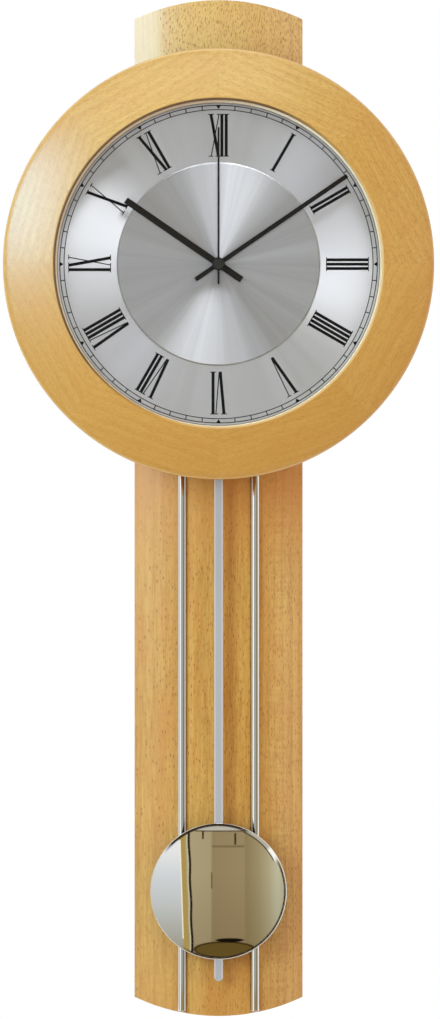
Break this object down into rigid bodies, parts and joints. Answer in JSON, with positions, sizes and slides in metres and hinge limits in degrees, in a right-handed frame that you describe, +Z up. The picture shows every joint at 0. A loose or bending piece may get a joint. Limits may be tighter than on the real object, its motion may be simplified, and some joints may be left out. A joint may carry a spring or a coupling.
{
  "type": "radio-controlled pendulum wall clock",
  "caption": "Tall beech wall clock: turned ring round a metal dial with Roman numerals, two polished rods and a swinging pendulum with a mirror-bright bob.",
  "frame": {"origin": "axis of the wall screw at the top of the hanger plate's slot, in the plane of the wall", "axes": "+Z up along the backboard; +Y into the wall, so the dial faces -Y; +X to the viewer's right"},
  "size_m": [0.294, 0.097, 0.7],
  "materials": {
    "beech": "clear satin lacquer on solid beech",
    "chrome": "polished chrome plate",
    "dial_metal": "brushed and lacquered aluminium",
    "steel": "zinc-plated steel",
    "brass": "plain brass",
    "hand_black": "black lacquer, slightly satin",
    "case_plastic": "moulded black plastic",
    "wheel_plastic": "natural acetal",
    "rubber": "soft rubber",
    "hardboard": "brown hardboard",
    "clear_glass": "clear flat glass",
    "copper_winding": "enamelled copper wire",
    "ferrite": "sintered ferrite",
    "circuit": "green solder mask on glass-fibre board",
    "cell_sleeve": "plain printed sleeve, no marks",
    "button_plastic": "pale moulded plastic"
  },
  "bodies": {
    "clock": {"aerial_coil": "copper_winding", "aerial_core": "ferrite", "back_board": "beech", "battery_cell": "cell_sleeve", "battery_contact_negative": "steel", "battery_contact_positive": "steel", "bezel_ring": "beech", "carrier_screw_1": "steel", "carrier_screw_2": "steel", "carrier_screw_3": "steel", "carrier_screw_4": "steel", "circuit_board": "circuit", "dial_carrier": "hardboard", "dial_centre": "dial_metal", "dial_plate": "dial_metal", "glass_pane": "clear_glass", "hanger_plate": "steel", "hanger_screw_1": "steel", "hanger_screw_2": "steel", "minutes_coil": "copper_winding", "minutes_stator": "steel", "movement_case_back": "case_plastic", "movement_case_front": "case_plastic", "movement_nut": "brass", "movement_washer": "rubber", "pendulum_coil": "copper_winding", "pendulum_pin": "brass", "ring_screw_1": "steel", "ring_screw_2": "steel", "ring_screw_3": "steel", "ring_screw_4": "steel", "rod_left": "chrome", "rod_right": "chrome", "seconds_coil": "copper_winding", "seconds_stator": "steel", "spacer_batten_left": "beech", "spacer_batten_right": "beech", "spacer_ring": "dial_metal"},
    "seconds": {"seconds_wheel": "wheel_plastic", "second_hand": "hand_black"},
    "seconds_idler": {"seconds_idler": "wheel_plastic"},
    "seconds_rotor": {"seconds_rotor": "ferrite"},
    "minutes": {"centre_wheel": "wheel_plastic", "minute_hand": "hand_black"},
    "minutes_idler": {"minutes_idler": "wheel_plastic"},
    "minutes_rotor": {"minutes_rotor": "ferrite"},
    "motion_work": {"motion_wheel": "wheel_plastic"},
    "hours": {"hour_wheel": "wheel_plastic", "hour_hand": "hand_black"},
    "pendulum": {"pendulum_lever": "wheel_plastic", "pendulum_magnet": "ferrite", "pendulum_bar": "dial_metal", "bob_shell": "chrome", "bob_back": "case_plastic", "bob_clip": "steel"},
    "set_button": {"set_button": "button_plastic"},
    "search_button": {"search_button": "button_plastic"}
  },
  "joints": [
    {"name": "second_spin", "type": "hinge", "parent": "clock", "child": "seconds", "pos_m": [0, -0.05, -0.1455], "axis": [0, 1, 0], "continuous": true},
    {"name": "seconds_idler_spin", "type": "hinge", "parent": "clock", "child": "seconds_idler", "pos_m": [-0.00764, -0.05, -0.13786], "axis": [0, 1, 0], "continuous": true},
    {"name": "seconds_rotor_spin", "type": "hinge", "parent": "clock", "child": "seconds_rotor", "pos_m": [-0.01814, -0.05, -0.13786], "axis": [0, 1, 0], "continuous": true},
    {"name": "minute_spin", "type": "hinge", "parent": "clock", "child": "minutes", "pos_m": [0, -0.05, -0.1455], "axis": [0, 1, 0], "continuous": true},
    {"name": "minutes_idler_spin", "type": "hinge", "parent": "clock", "child": "minutes_idler", "pos_m": [0.00764, -0.05, -0.13786], "axis": [0, 1, 0], "continuous": true},
    {"name": "minutes_rotor_spin", "type": "hinge", "parent": "clock", "child": "minutes_rotor", "pos_m": [0.01814, -0.05, -0.13786], "axis": [0, 1, 0], "continuous": true},
    {"name": "motion_wheel_spin", "type": "hinge", "parent": "clock", "child": "motion_work", "pos_m": [0, -0.05, -0.1555], "axis": [0, 1, 0], "continuous": true},
    {"name": "hour_spin", "type": "hinge", "parent": "clock", "child": "hours", "pos_m": [0, -0.05, -0.1455], "axis": [0, 1, 0], "continuous": true},
    {"name": "pendulum_swing", "type": "hinge", "parent": "clock", "child": "pendulum", "pos_m": [0, -0.05, -0.1295], "axis": [0, 1, 0], "range_deg": [-4, 4]},
    {"name": "set_button_press", "type": "slide", "parent": "clock", "child": "set_button", "axis": [0, -1, 0], "range_m": [0, 0.0008], "stiffness_N_per_m": 250, "springref_m": -0.002},
    {"name": "search_button_press", "type": "slide", "parent": "clock", "child": "search_button", "axis": [0, -1, 0], "range_m": [0, 0.0008], "stiffness_N_per_m": 250, "springref_m": -0.002}
  ],
  "couplings": [
    {"joint": "seconds_idler_spin", "follows": "second_spin", "ratio": -5},
    {"joint": "seconds_rotor_spin", "follows": "second_spin", "ratio": 30},
    {"joint": "minutes_idler_spin", "follows": "minute_spin", "ratio": -5},
    {"joint": "minutes_rotor_spin", "follows": "minute_spin", "ratio": 30},
    {"joint": "motion_wheel_spin", "follows": "minute_spin", "ratio": -0.33333},
    {"joint": "hour_spin", "follows": "minute_spin", "ratio": 0.083333}
  ]
}
